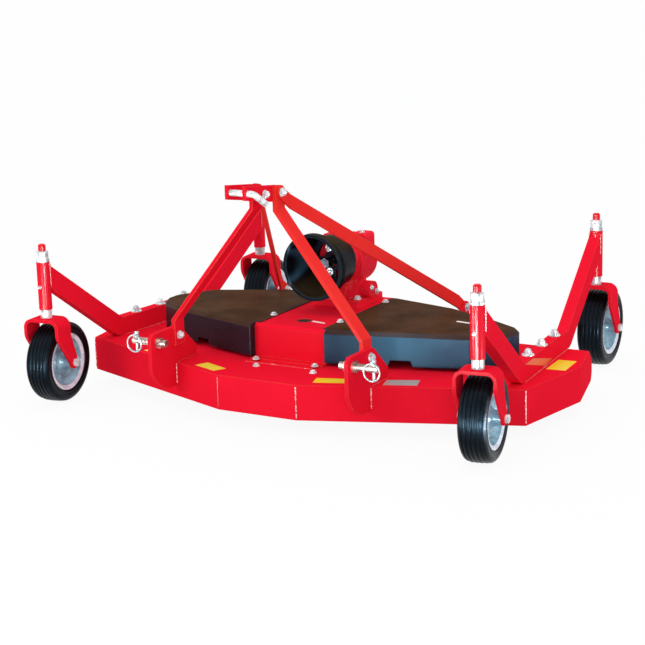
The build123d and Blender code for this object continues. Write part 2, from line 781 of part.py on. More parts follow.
# Side beams: box tubes from the front post down to the deck and up again to the rear post
for name, side in SIDES:
    front = Vector(side * front_track / 2, front_post_y, 0)
    rear = Vector(side * rear_track / 2, rear_post_y, 0)
    span = rear - front
    along = span.normalized()
    across = along.cross(Vector(0, 0, 1))
    beam_plane = Plane(origin=front, x_dir=along, z_dir=across)
    outer_top = beam_edge(beam_height / 2, 0)
    outer_bottom = beam_edge(-beam_height / 2, 0)
    inner_top = beam_edge(beam_height / 2 - beam_wall, -caster_tube_radius)
    inner_bottom = beam_edge(-beam_height / 2 + beam_wall, -caster_tube_radius)
    with BuildPart() as side_beam:
        with BuildSketch(beam_plane.offset(-beam_width / 2)):
            with BuildLine():
                Polyline(*outer_top)
                FilletPolyline(*reversed(outer_bottom), radius=beam_bend_radius)
                Line(outer_top[0], outer_bottom[0])
                Line(outer_top[-1], outer_bottom[-1])
            make_face()
        extrude(amount=beam_width)
        with BuildSketch(beam_plane.offset(-beam_width / 2 + beam_wall)):
            with BuildLine():
                Polyline(*inner_top, *reversed(inner_bottom), close=True)
            make_face()
        extrude(amount=beam_width - 2 * beam_wall, mode=Mode.SUBTRACT)
        for post in (front, rear):
            with BuildSketch(Plane.XY.offset(deck_top)):
                with Locations((post.X, post.Y)):
                    Circle(caster_tube_radius)
            extrude(amount=tube_top, mode=Mode.SUBTRACT)
            # the stub beyond the post
            outward = -1 if post is front else 1
            stub = Plane(origin=(post.X, post.Y, deck_top), x_dir=along, z_dir=(0, 0, 1))
            with BuildSketch(stub):
                with Locations((outward * beam_height, 0)):
                    Rectangle(2 * beam_height, 2 * beam_width)
            extrude(amount=tube_top, mode=Mode.SUBTRACT)
    finish(side_beam.part, f"side_beam_{name}")

# Casters
for name, side, post_x, post_y, swung in CASTERS:
    x = side * post_x
    swing = radians(swung)
    axle_dir = (cos(swing), sin(swing), 0)
    back_dir = (-sin(swing), cos(swing), 0)
    # the caster's own planes through the post: facing its front, and facing its side
    facing = Plane(origin=(x, post_y, 0), x_dir=axle_dir, z_dir=(sin(swing), -cos(swing), 0))
    sideways = Plane(origin=(x, post_y, 0), x_dir=back_dir, z_dir=axle_dir)
    hub = Vector(x - trail * sin(swing), post_y + trail * cos(swing), wheel_radius)
    wheel_plane = Plane(origin=hub, x_dir=axle_dir, z_dir=(sin(swing), -cos(swing), 0))
    with BuildPart() as caster_tube:
        with BuildSketch(Plane.XY.offset(tube_bottom)):
            with Locations((x, post_y)):
                Circle(caster_tube_radius)
                Circle(spindle_radius + spindle_clearance, mode=Mode.SUBTRACT)
        extrude(amount=caster_tube_length)
    finish(caster_tube.part, f"caster_tube_{name}")

    # spindle: collar, shaft, upper collar, neck and cap, from the crown up: radius, height
    lower_face = tube_bottom - seat_gap
    upper_face = tube_top + seat_gap
    with BuildPart() as spindle:
        level = crown_top
        for radius, top in (
            (collar_radius, lower_face),
            (spindle_radius, upper_face),
            (caster_tube_radius, upper_face + top_collar_height),
            (spindle_neck_radius, upper_face + top_collar_height + spindle_neck),
            (spindle_cap_radius, upper_face + top_collar_height + spindle_neck + spindle_cap),
        ):
            with BuildSketch(Plane.XY.offset(level)):
                with Locations((x, post_y)):
                    Circle(radius)
            extrude(amount=top - level)
            level = top
        chamfer(spindle.faces().sort_by(Axis.Z)[-1].edges(), length=4)
    finish(spindle.part, f"caster_spindle_{name}")

    # fork: a bent plate with round shoulders, its legs tapered and swept back to the axle
    leg_foot = wheel_radius - fork_end_radius
    with BuildPart() as fork:
        with BuildSketch(facing.offset(fork_depth)):
            with BuildLine():
                FilletPolyline(
                    (-fork_outer, leg_foot),
                    (-fork_outer, crown_top),
                    (fork_outer, crown_top),
                    (fork_outer, leg_foot),
                    radius=fork_shoulder,
                )
                Line((fork_outer, leg_foot), (-fork_outer, leg_foot))
            make_face()
            with BuildLine():
                FilletPolyline(
                    (-fork_inner, leg_foot),
                    (-fork_inner, crown_bottom),
                    (fork_inner, crown_bottom),
                    (fork_inner, leg_foot),
                    radius=fork_shoulder - fork_plate,
                )
                Line((fork_inner, leg_foot), (-fork_inner, leg_foot))
            make_face(mode=Mode.SUBTRACT)
        extrude(amount=-3 * fork_depth)
        with BuildSketch(sideways.offset(-2 * fork_outer)):
            with BuildLine():
                for edge, end in (
                    (-fork_depth / 2, trail - fork_end_radius),
                    (fork_depth / 2, trail + fork_end_radius),
                ):
                    FilletPolyline(
                        (edge, crown_top),
                        (edge, crown_top - 2 * fork_shoulder),
                        (end, wheel_radius),
                        radius=fork_sweep_radius,
                    )
                Line((-fork_depth / 2, crown_top), (fork_depth / 2, crown_top))
                Line((trail - fork_end_radius, wheel_radius), (trail + fork_end_radius, wheel_radius))
            make_face()
            with Locations((trail, wheel_radius)):
                Circle(fork_end_radius)
        extrude(amount=4 * fork_outer, mode=Mode.INTERSECT)
        with BuildSketch(sideways.offset(-fork_outer)):
            with Locations((trail, wheel_radius)):
                Circle(axle_radius)
        extrude(amount=2 * fork_outer, mode=Mode.SUBTRACT)
    finish(fork.part, f"caster_fork_{name}")

    with BuildPart() as axle:
        with BuildSketch(sideways.offset(-fork_outer)):
            with Locations((trail, wheel_radius)):
                Circle(axle_radius)
        extrude(amount=2 * fork_outer)
        for start in (-fork_outer - axle_head, fork_outer):
            with BuildSketch(sideways.offset(start)):
                with Locations((trail, wheel_radius)):
                    RegularPolygon(1.6 * axle_radius, 6)
            extrude(amount=axle_head)
    finish(axle.part, f"axle_{name}")

    # rim: hub, web and a dished flange, half section: distance across, radius
    hub_half = fork_inner - hub_clearance
    rim_half = rim_width / 2
    rim_section = (
        (hub_half, axle_radius + axle_clearance),
        (hub_half, hub_radius),
        (rim_half - 16, hub_radius + 6),
        (rim_half - 20, rim_radius - 26),
        (rim_half - 8, rim_radius - 14),
        (rim_half, rim_radius - 6),
        (rim_half, rim_radius),
    )
    with BuildPart() as rim:
        with BuildSketch(wheel_plane):
            with BuildLine():
                mirrored = [(-across_hub, radius) for across_hub, radius in reversed(rim_section)]
                Polyline(*rim_section, *mirrored, close=True)
            make_face()
        revolve(axis=Axis(hub, axle_dir))
    finish(rim.part, f"rim_{name}")

    # tyre: solid rubber with rounded shoulders, half section: distance across, radius
    tyre_half = tyre_width / 2
    tyre_section = (
        (tyre_half - 4, rim_radius),
        (tyre_half, rim_radius + 8),
        (tyre_half - 1, wheel_radius - 14),
        (tyre_half - 8, wheel_radius - 4),
        (tyre_half - 20, wheel_radius),
    )
    with BuildPart() as tyre:
        with BuildSketch(wheel_plane):
            with BuildLine():
                mirrored = [(-across_tyre, radius) for across_tyre, radius in reversed(tyre_section)]
                Polyline(*tyre_section, *mirrored, close=True)
            make_face()
        revolve(axis=Axis(hub, axle_dir))
    finish(tyre.part, f"tyre_{name}")

# Blades, their shafts and the bearing housings under the deck
for name, x, y in BLADES:
    with BuildPart() as housing:
        for radius, low, high in (
            (housing_radius, housing_bottom, housing_top),
            (housing_flange_radius, deck_inside - housing_flange, deck_inside),
        ):
            with BuildSketch(Plane.XY.offset(low)):
                with Locations((x, y)):
                    Circle(radius)
            extrude(amount=high - low)
        with BuildSketch(Plane.XY.offset(housing_bottom)):
            with Locations((x, y)):
                Circle(blade_shaft_radius + spindle_clearance)
        extrude(amount=housing_top - housing_bottom, mode=Mode.SUBTRACT)
    finish(housing.part, f"spindle_housing_{name}")

    with BuildPart() as blade_shaft:
        for radius, low, high in (
            (blade_bolt_radius, blade_bottom - blade_bolt_height, blade_bottom),
            (blade_hub_radius, blade_top, blade_top + blade_hub_height),
            (blade_shaft_radius, blade_bottom, blade_shaft_top),
        ):
            with BuildSketch(Plane.XY.offset(low)):
                with Locations((x, y)):
                    Circle(radius)
            extrude(amount=high - low)
    finish(blade_shaft.part, f"blade_shaft_{name}")

    with BuildPart() as blade:
        with BuildSketch(Plane.XY.offset(blade_bottom)):
            with Locations((x, y)):
                Rectangle(2 * blade_radius - blade_width / 2, blade_width)
        extrude(amount=blade_thickness)
        for end in (-1, 1):
            wing_from = end * (blade_radius - blade_width / 4)
            with BuildSketch(Plane.YZ.offset(x + wing_from)):
                with BuildLine():
                    Polyline(
                        (y + end * blade_width / 2, blade_bottom),
                        (y + end * (blade_width / 2 - 14), blade_bottom),
                        (y + end * (blade_width / 2 - 14), blade_top),
                        (y + end * (blade_width / 2 - 4), blade_top + blade_lift),
                        (y + end * (blade_width / 2 + 1), blade_top + blade_lift - 4),
                        close=True,
                    )
                make_face()
            extrude(amount=-end * blade_lift_length)
        with BuildSketch(Plane.XY.offset(blade_bottom)):
            with Locations((x, y)):
                Circle(blade_shaft_radius)
        extrude(amount=blade_thickness, mode=Mode.SUBTRACT)
    finish(blade.part, f"blade_{name}")
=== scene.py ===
"""Looks of a finishing mower: red enamel, charcoal covers, zinc plate, solid rubber tyres.

Metres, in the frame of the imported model: the tractor is towards -Y and Z is up.
"""
import json
from math import cos, pi, radians, sin

import bmesh
import bpy
from mathutils import Matrix, Vector


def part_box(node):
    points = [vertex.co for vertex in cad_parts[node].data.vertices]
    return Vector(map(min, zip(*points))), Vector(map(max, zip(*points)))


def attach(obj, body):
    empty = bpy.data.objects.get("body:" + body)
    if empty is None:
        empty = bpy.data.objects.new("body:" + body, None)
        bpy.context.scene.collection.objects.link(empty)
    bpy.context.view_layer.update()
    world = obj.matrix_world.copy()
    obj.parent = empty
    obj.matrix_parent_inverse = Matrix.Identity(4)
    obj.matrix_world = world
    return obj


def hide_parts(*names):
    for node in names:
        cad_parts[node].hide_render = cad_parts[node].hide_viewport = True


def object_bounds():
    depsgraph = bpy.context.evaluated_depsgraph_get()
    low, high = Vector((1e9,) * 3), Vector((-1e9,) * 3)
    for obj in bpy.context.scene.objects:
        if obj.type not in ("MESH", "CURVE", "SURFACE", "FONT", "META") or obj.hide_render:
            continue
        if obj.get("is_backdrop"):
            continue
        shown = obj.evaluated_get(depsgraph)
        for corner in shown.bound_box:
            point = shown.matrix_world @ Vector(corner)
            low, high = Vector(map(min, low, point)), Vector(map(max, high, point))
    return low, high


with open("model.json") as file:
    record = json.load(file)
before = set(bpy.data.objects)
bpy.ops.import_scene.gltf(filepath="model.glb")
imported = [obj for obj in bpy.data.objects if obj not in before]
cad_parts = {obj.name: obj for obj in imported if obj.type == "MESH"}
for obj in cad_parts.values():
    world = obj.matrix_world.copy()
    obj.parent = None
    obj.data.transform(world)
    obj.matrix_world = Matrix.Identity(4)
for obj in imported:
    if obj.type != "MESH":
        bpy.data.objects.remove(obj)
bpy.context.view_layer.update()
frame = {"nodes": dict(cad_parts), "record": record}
scene = bpy.context.scene
nodes = frame["nodes"]

SIDES = (("left", -1), ("right", 1))
CASTERS = ("front_left", "front_right", "rear_left", "rear_right")
BLADES = ("left", "centre", "right")

# Levels that the pieces share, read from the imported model
deck_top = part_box("side_beam_right")[0].z
beam_top = deck_top + 0.060
tunnel_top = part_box("gearbox")[0].z
cover_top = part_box("belt_cover_right")[1].z
shaft_x = (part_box("input_shaft")[0].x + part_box("input_shaft")[1].x) / 2
shaft_z = (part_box("input_shaft")[0].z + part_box("input_shaft")[1].z) / 2


# Camera

def place_camera():
    turn, pitch, roll = 0.5347, 0.2388, -0.0305
    ahead = Vector((-sin(turn) * cos(pitch), cos(turn) * cos(pitch), -sin(pitch)))
    right = Vector((cos(turn), sin(turn), 0))
    up = right.cross(ahead)
    rolled_right = right * cos(roll) + up * sin(roll)
    rolled_up = up * cos(roll) - right * sin(roll)
    data = bpy.data.cameras.new("camera")
    data.sensor_width = 36
    data.lens = 1779.4 / 645 * 36
    data.clip_end = 60
    camera = bpy.data.objects.new("camera", data)
    scene.collection.objects.link(camera)
    axes = Matrix((rolled_right, rolled_up, -ahead)).transposed()
    camera.matrix_world = Matrix.Translation((2.79596, -4.88524, 1.57604)) @ axes.to_4x4()
    scene.camera = camera


place_camera()
scene.view_settings.view_transform = "Standard"


# Node helpers

def add(tree, kind, **values):
    """A node with its properties set by attribute name."""
    node = tree.nodes.new(kind)
    for key, value in values.items():
        setattr(node, key, value)
    return node


def feed(tree, socket, value):
    """A link where value is another node's socket, and a plain setting otherwise."""
    if isinstance(value, bpy.types.NodeSocket):
        tree.links.new(value, socket)
    else:
        socket.default_value = value


def number(tree, operation, first, second=0.0, third=0.0):
    node = add(tree, "ShaderNodeMath", operation=operation)
    for socket, value in zip(node.inputs, (first, second, third)):
        feed(tree, socket, value)
    return node.outputs[0]


def blend_colour(tree, share, first, second, mode="MIX"):
    node = add(tree, "ShaderNodeMix", data_type="RGBA", blend_type=mode)
    feed(tree, node.inputs[0], share)
    for socket, value in ((node.inputs[6], first), (node.inputs[7], second)):
        feed(tree, socket, (*value, 1) if isinstance(value, tuple) else value)
    return node.outputs[2]


def between(tree, value, low, high, out_low=0.0, out_high=1.0, smooth=True):
    node = add(tree, "ShaderNodeMapRange")
    node.interpolation_type = "SMOOTHSTEP" if smooth else "LINEAR"
    for socket, setting in zip(node.inputs, (value, low, high, out_low, out_high)):
        feed(tree, socket, setting)
    return node.outputs[0]


def noise(tree, where, scale, detail=3.0, rough=0.5, stretch=None):
    if stretch:
        mapping = add(tree, "ShaderNodeMapping")
        feed(tree, mapping.inputs["Vector"], where)
        mapping.inputs["Scale"].default_value = stretch
        where = mapping.outputs[0]
    node = add(tree, "ShaderNodeTexNoise")
    feed(tree, node.inputs["Vector"], where)
    node.inputs["Scale"].default_value = scale
    node.inputs["Detail"].default_value = detail
    node.inputs["Roughness"].default_value = rough
    return node.outputs["Fac"]


def new_finish(name):
    material = bpy.data.materials.new(name)
    material.use_nodes = True
    tree = material.node_tree
    shader = tree.nodes["Principled BSDF"]
    where = add(tree, "ShaderNodeTexCoord")
    return material, tree, shader, where


def set_bump(tree, shader, height, strength, distance, base=None):
    bump = add(tree, "ShaderNodeBump")
    bump.inputs["Strength"].default_value = strength
    bump.inputs["Distance"].default_value = distance
    feed(tree, bump.inputs["Height"], height)
    if base is not None:
        feed(tree, bump.inputs["Normal"], base)
    feed(tree, shader.inputs["Normal"], bump.outputs[0])
    feed(tree, shader.inputs["Coat Normal"], bump.outputs[0])


def rounded_edges(tree, radius):
    """The normal with its edges rounded off, and how near an edge the point lies."""
    soft = add(tree, "ShaderNodeBevel", samples=6)
    soft.inputs["Radius"].default_value = radius
    flat = add(tree, "ShaderNodeNewGeometry")
    along = add(tree, "ShaderNodeVectorMath", operation="DOT_PRODUCT")
    feed(tree, along.inputs[0], soft.outputs[0])
    feed(tree, along.inputs[1], flat.outputs["Normal"])
    return soft.outputs[0], between(tree, along.outputs["Value"], 0.98, 0.8)


# Finishes

EVEN = (1, 1, 1)
RED, DARK_RED = (0.81, 0.0095, 0.029), (0.77, 0.0085, 0.027)
# Edge tones: partly paint wear, partly painted highlights along the folds.
BRIGHT_EDGE, ORANGE_EDGE = (0.88, 0.17, 0.09), (0.90, 0.30, 0.10)


def red_enamel(name="red enamel", tone=RED, shade=DARK_RED, edge=0.6, gloss=0.012, edge_tone=BRIGHT_EDGE):
    """Flat colour under a thin clear coat, whose weight is the gloss; its edges carry a paler tint, partly
    wear and partly a painted highlight.
    """
    material, tree, shader, where = new_finish(name)
    place = where.outputs["Object"]
    normal, near_edge = rounded_edges(tree, 0.0028)
    drift = between(tree, noise(tree, place, 4.5), 0.35, 0.68)
    colour = blend_colour(tree, drift, shade, tone)
    # Paler edge tint in patches: partly paint wear, partly a painted highlight along the folds.
    patchy_share = between(tree, noise(tree, place, 13, 2), 0.3, 0.65, 0.35, 1.0)
    edge_share = number(tree, "MULTIPLY", number(tree, "MULTIPLY", near_edge, patchy_share), edge)
    colour = blend_colour(tree, edge_share, colour, edge_tone)
    grains = between(tree, noise(tree, place, 260, 1), 0.70, 0.76)
    patches = between(tree, noise(tree, place, 9), 0.5, 0.75)
    dust = number(tree, "MULTIPLY", number(tree, "MULTIPLY", grains, patches), 0.3)
    colour = blend_colour(tree, dust, colour, (0.75, 0.22, 0.18))
    feed(tree, shader.inputs["Base Color"], colour)
    smears = between(tree, noise(tree, place, 16, 4), 0.3, 0.7, 0.15, 0.24)
    feed(tree, shader.inputs["Roughness"], smears)
    shader.inputs["Specular IOR Level"].default_value = 0.0
    shader.inputs["Coat Weight"].default_value = gloss
    shader.inputs["Coat Roughness"].default_value = 0.16
    set_bump(tree, shader, noise(tree, place, 380, 2), 0.06, 0.0004, normal)
    return material


def weld_metal(name, bare):
    material, tree, shader, where = new_finish(name)
    place = where.outputs["Object"]
    chips = between(tree, noise(tree, place, 190, 3), 0.62 - bare * 0.3, 0.74 - bare * 0.3)
    colour = blend_colour(tree, chips, (0.72, 0.010, 0.022), (0.86, 0.62, 0.55))
    feed(tree, shader.inputs["Base Color"], colour)
    shader.inputs["Roughness"].default_value = 0.32
    set_bump(tree, shader, noise(tree, place, 500, 3), 0.4, 0.0006)
    return material


def cover_plastic(name, top, flank, painted_reflection=None, span=(0.13, 0.34, 0.53), shine=0.10):
    """Moulded plastic: its top carries a brown tone, partly a film of dust and partly a painted reflection;
    its flanks are darker and bluer, partly the plastic's own colour and partly a painted reflection.

    painted_reflection: a paler painted reflection on the flanks, whose share rises and falls over the span
    along X.
    """
    material, tree, shader, where = new_finish(name)
    place = where.outputs["Object"]
    normal, near_edge = rounded_edges(tree, 0.006)
    turned = add(tree, "ShaderNodeSeparateXYZ")
    feed(tree, turned.inputs[0], where.outputs["Normal"])
    lies_flat = between(tree, turned.outputs["Z"], 0.35, 0.85)
    side_colour = flank
    # Paler band on the flanks along X: a painted reflection.
    if painted_reflection:
        spread = add(tree, "ShaderNodeSeparateXYZ")
        feed(tree, spread.inputs[0], place)
        rise = between(tree, spread.outputs["X"], span[0], span[1])
        fall = between(tree, spread.outputs["X"], span[2], span[1])
        share = number(tree, "MULTIPLY", rise, fall)
        side_colour = blend_colour(tree, share, flank, painted_reflection)
    drift = between(tree, noise(tree, place, 7, 4), 0.35, 0.7)
    top_dust_and_reflection = blend_colour(tree, drift, top, tuple(c * 0.62 for c in top))
    # Top and flank tones split by how flat the face lies: a painted reflection, with dust on the top.
    colour = blend_colour(tree, lies_flat, side_colour, top_dust_and_reflection)
    # Paler blue tint along the edges: a painted highlight.
    edge_share = number(tree, "MULTIPLY", near_edge, 0.35)
    colour = blend_colour(tree, edge_share, colour, (0.09, 0.15, 0.19))
    specks = between(tree, noise(tree, place, 320, 1), 0.69, 0.75, 0, 0.25)
    colour = blend_colour(tree, specks, colour, (0.22, 0.19, 0.16))
    feed(tree, shader.inputs["Base Color"], colour)
    smears = between(tree, noise(tree, place, 22, 4), 0.3, 0.7, 0.26, 0.40)
    feed(tree, shader.inputs["Roughness"], smears)
    shader.inputs["Specular IOR Level"].default_value = shine
    feed(tree, shader.inputs["Specular IOR Level"], between(tree, lies_flat, 0.0, 1.0, shine, 0.001))
    shader.inputs["Specular Tint"].default_value = (0.35, 0.68, 1.0, 1)
    set_bump(tree, shader, noise(tree, place, 900, 2), 0.12, 0.0004, normal)
    return material


def metal(name, bright, dull, rough, stretch=EVEN, metallic=0.92, scratch=0.15, grain=55):
    material, tree, shader, where = new_finish(name)
    place = where.outputs["Object"]
    normal, near_edge = rounded_edges(tree, 0.0012)
    streaks = between(tree, noise(tree, place, grain, 4, 0.6, stretch), 0.36, 0.66)
    colour = blend_colour(tree, streaks, dull, bright)
    edge_share = number(tree, "MULTIPLY", near_edge, 0.4)
    worn_edge = tuple(min(1.0, c * 1.3) for c in bright)
    colour = blend_colour(tree, edge_share, colour, worn_edge)
    feed(tree, shader.inputs["Base Color"], colour)
    shader.inputs["Metallic"].default_value = metallic
    shader.inputs["Specular IOR Level"].default_value = 0.08
    smears = between(tree, noise(tree, place, 90, 3), 0.3, 0.7, *rough)
    feed(tree, shader.inputs["Roughness"], smears)
    set_bump(tree, shader, noise(tree, place, 420, 3, 0.6, stretch), scratch, 0.0004, normal)
    return material


def spindle_finish(cap_from):
    """Zinc plate up to the neck, and a red painted cap above it."""
    bright, dull = (0.90, 0.93, 0.94), (0.34, 0.38, 0.40)
    material = metal("spindle zinc with red cap", bright, dull, (0.20, 0.34), metallic=0.06)
    tree = material.node_tree
    shader = tree.nodes["Principled BSDF"]
    where = add(tree, "ShaderNodeTexCoord")
    split = add(tree, "ShaderNodeSeparateXYZ")
    feed(tree, split.inputs[0], where.outputs["Object"])
    ragged = number(tree, "MULTIPLY", noise(tree, where.outputs["Object"], 120), 0.004)
    height = number(tree, "ADD", split.outputs["Z"], ragged)
    on_cap = between(tree, height, cap_from, cap_from + 0.002)
    plate = shader.inputs["Base Color"].links[0].from_socket
    feed(tree, shader.inputs["Base Color"], blend_colour(tree, on_cap, plate, (0.74, 0.012, 0.024)))
    feed(tree, shader.inputs["Metallic"], between(tree, on_cap, 0.0, 1.0, 0.06, 0.0, False))
    return material


def rubber(name="tyre rubber"):
    material, tree, shader, where = new_finish(name)
    place = where.outputs["Object"]
    drift = between(tree, noise(tree, place, 14, 4), 0.35, 0.7)
    colour = blend_colour(tree, drift, (0.0025, 0.0025, 0.003), (0.0065, 0.007, 0.009))
    dust = between(tree, noise(tree, place, 70, 5, 0.7), 0.58, 0.82, 0, 0.2)
    colour = blend_colour(tree, dust, colour, (0.045, 0.040, 0.034))
    feed(tree, shader.inputs["Base Color"], colour)
    feed(tree, shader.inputs["Roughness"], between(tree, noise(tree, place, 40, 3), 0.3, 0.7, 0.26, 0.38))
    shader.inputs["Specular IOR Level"].default_value = 0.12
    shader.inputs["Specular Tint"].default_value = (0.35, 0.68, 1.0, 1)
    set_bump(tree, shader, noise(tree, place, 700, 3), 0.15, 0.0004)
    return material


def sticker(name, colour, worn, gloss=0.3, metallic=0.0):
    material, tree, shader, where = new_finish(name)
    place = where.outputs["Object"]
    patchy_share = between(tree, noise(tree, place, 150, 5, 0.7), 0.60, 0.72, 0, 0.8)
    mottled = blend_colour(tree, noise(tree, place, 30), colour, tuple(c * 0.86 for c in colour))
    feed(tree, shader.inputs["Base Color"], blend_colour(tree, patchy_share, mottled, worn))
    shader.inputs["Roughness"].default_value = gloss
    shader.inputs["Metallic"].default_value = metallic
    set_bump(tree, shader, noise(tree, place, 60, 2), 0.1, 0.0004)
    return material


enamel = red_enamel()
# A lighter, more orange copy of the enamel for the flat bars: painted light, the same paint lit differently.
enamel_painted_lit = red_enamel("red enamel, flat bars, painted light", (0.82, 0.034, 0.030), (0.80, 0.028, 0.026), 0.5)
enamel_tube = red_enamel("red enamel, tubes", RED, DARK_RED, 0.5, 0.085)
# The gearbox's copy of the enamel is a brighter red with a stronger edge tint: painted light against the
# shade on the casting.
enamel_cast = red_enamel("red enamel, castings, painted light", (0.90, 0.016, 0.040), (0.84, 0.014, 0.036), 0.8, 0.06)
# The left leg's copy of the enamel carries a full orange edge tint: a painted highlight along the leg's
# edge.
enamel_leg = red_enamel("red enamel, left leg, painted edge highlight", RED, DARK_RED, 1.0, 0.012, ORANGE_EDGE)
zinc = metal("zinc plate", (0.92, 0.95, 0.96), (0.44, 0.50, 0.52), (0.18, 0.32), metallic=0.10)
# The rim's dish is tinted blue and its lip paler, with little metal shine: a painted reflection and a
# painted highlight on one zinc rim.
dish_zinc = metal("rim dish zinc, painted blue reflection", (0.34, 0.52, 0.62), (0.17, 0.29, 0.37), (0.2, 0.3), EVEN, 0.15, 0.03, 26)
lip_zinc = metal("rim lip zinc, painted highlight", (0.84, 0.87, 0.95), (0.62, 0.66, 0.76), (0.2, 0.3), EVEN, 0.2, 0.03, 26)
linch_zinc = metal("linch pin zinc", (0.60, 0.72, 0.76), (0.32, 0.40, 0.44), (0.2, 0.32), EVEN, 0.2)
shaft_steel = metal("oiled shaft steel", (0.05, 0.06, 0.08), (0.012, 0.014, 0.018), (0.3, 0.4), EVEN, 0.3)
pin_steel = metal("hitch pin steel", (0.62, 0.52, 0.46), (0.25, 0.20, 0.18), (0.26, 0.46))
cutting_steel = metal("blade steel", (0.36, 0.36, 0.37), (0.16, 0.16, 0.17), (0.34, 0.52), (1, 30, 30))
# Right cover: a blue flank and a paler blue band along it, both painted reflections. Left cover: a reddish
# flank, a painted reflection of the red paint. Brown tops: partly dust, partly painted reflection.
BLUE_PAINTED_FLANK, BLUE_PAINTED_REFLECTION = (0.018, 0.040, 0.076), (0.048, 0.160, 0.255)
right_cover = cover_plastic("right cover", (0.080, 0.037, 0.019), BLUE_PAINTED_FLANK, BLUE_PAINTED_REFLECTION)
left_cover = cover_plastic("left cover", (0.076, 0.036, 0.018), (0.026, 0.012, 0.018))
# The guard's inner left wall carries a paler blue band: a painted reflection.
left_wall_reflection_span = (shaft_x - 0.094, shaft_x - 0.084, shaft_x - 0.076)
guard_black = cover_plastic(
    "guard", (0.050, 0.034, 0.018), (0.004, 0.005, 0.008), (0.04, 0.11, 0.17), left_wall_reflection_span, 0.018,
)
tyre_black = rubber()
bare_weld = weld_metal("weld, paint chipped", 0.55)
red_weld = weld_metal("weld, painted", 0.0)
yellow_film = sticker("yellow label", (0.95, 0.74, 0.02), (0.75, 0.45, 0.05))
silver_film = sticker("silver label", (0.62, 0.56, 0.52), (0.40, 0.26, 0.24), 0.35, 0.4)
orange_film = sticker("orange label", (0.80, 0.11, 0.03), (0.76, 0.03, 0.02), 0.4)
pale_film = sticker("pale label", (0.86, 0.78, 0.74), (0.78, 0.45, 0.42), 0.35)
spindle_coat = spindle_finish(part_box("caster_spindle_front_right")[1].z - 0.0205)

# Each node of the imported model gets its finish
# The flat bars take the painted lit copy of the enamel.
FLAT_BARS = ("mast_leg_right", "mast_brace_right", "mast_brace_left")
for name, piece in nodes.items():
    finish = enamel
    if name in FLAT_BARS:
        finish = enamel_painted_lit
    elif name.startswith("caster_tube"):
        finish = enamel_tube
    elif name == "gearbox":
        finish = enamel_cast
    elif name == "mast_leg_left":
        finish = enamel_leg
    elif name == "belt_cover_right":
        finish = right_cover
    elif name == "belt_cover_left":
        finish = left_cover
    elif name in ("pto_guard", "guard_plate"):
        finish = guard_black
    elif name.startswith("caster_spindle"):
        finish = spindle_coat
    elif name.startswith("linch_pin"):
        finish = linch_zinc
    elif name.startswith(("axle", "top_link_pin")):
        finish = zinc
    elif name == "input_shaft":
        finish = shaft_steel
    elif name.startswith("lower_pin"):
        finish = pin_steel
    elif name.startswith("rim"):
        finish = dish_zinc
    elif name.startswith("tyre"):
        finish = tyre_black
    elif name.startswith(("blade", "spindle_housing")):
        finish = cutting_steel if name.startswith("blade") else enamel
    for index in range(len(piece.material_slots)):
        piece.material_slots[index].material = finish
    if not piece.material_slots:
        piece.data.materials.append(finish)


# Mesh helpers

def keep_piece(name, mesh, body):
    piece = bpy.data.objects.new(name, mesh)
    scene.collection.objects.link(piece)
    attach(piece, body)
    return piece


def mesh_from(name, points, faces, finish, crease=None):
    mesh = bpy.data.meshes.new(name)
    mesh.from_pydata([tuple(p) for p in points], [], faces)
    shell = bmesh.new()
    shell.from_mesh(mesh)
    bmesh.ops.remove_doubles(shell, verts=shell.verts, dist=1e-6)
    bmesh.ops.recalc_face_normals(shell, faces=shell.faces)
    shell.to_mesh(mesh)
    shell.free()
    mesh.materials.append(finish)
    if crease:
        mesh.shade_smooth()
        mesh.set_sharp_from_angle(angle=radians(crease))
    return mesh


def turned_mesh(name, section, centre, axis, steps, finish, crease=40):
    """A closed section, as distance along the axis and radius, turned round the axis."""
    centre = Vector(centre)
    axis = Vector(axis).normalized()
    first = Vector((0, 0, 1)) if abs(axis.z) < 0.9 else Vector((1, 0, 0))
    first = (first - axis * first.dot(axis)).normalized()
    second = axis.cross(first)
    points, faces = [], []
    count = len(section)
    for step in range(steps):
        angle = 2 * pi * step / steps
        out = first * cos(angle) + second * sin(angle)
        points += [centre + axis * along + out * radius for along, radius in section]
    for step in range(steps):
        here, after = step * count, (step + 1) % steps * count
        for i in range(count):
            j = (i + 1) % count
            faces.append((here + i, here + j, after + j, after + i))
    return mesh_from(name, points, faces, finish, crease)


# Wheels: solid tyres with fine ribs round the tread, and pressed zinc rims

rim_edge = (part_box("rim_front_right")[1].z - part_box("rim_front_right")[0].z) / 2


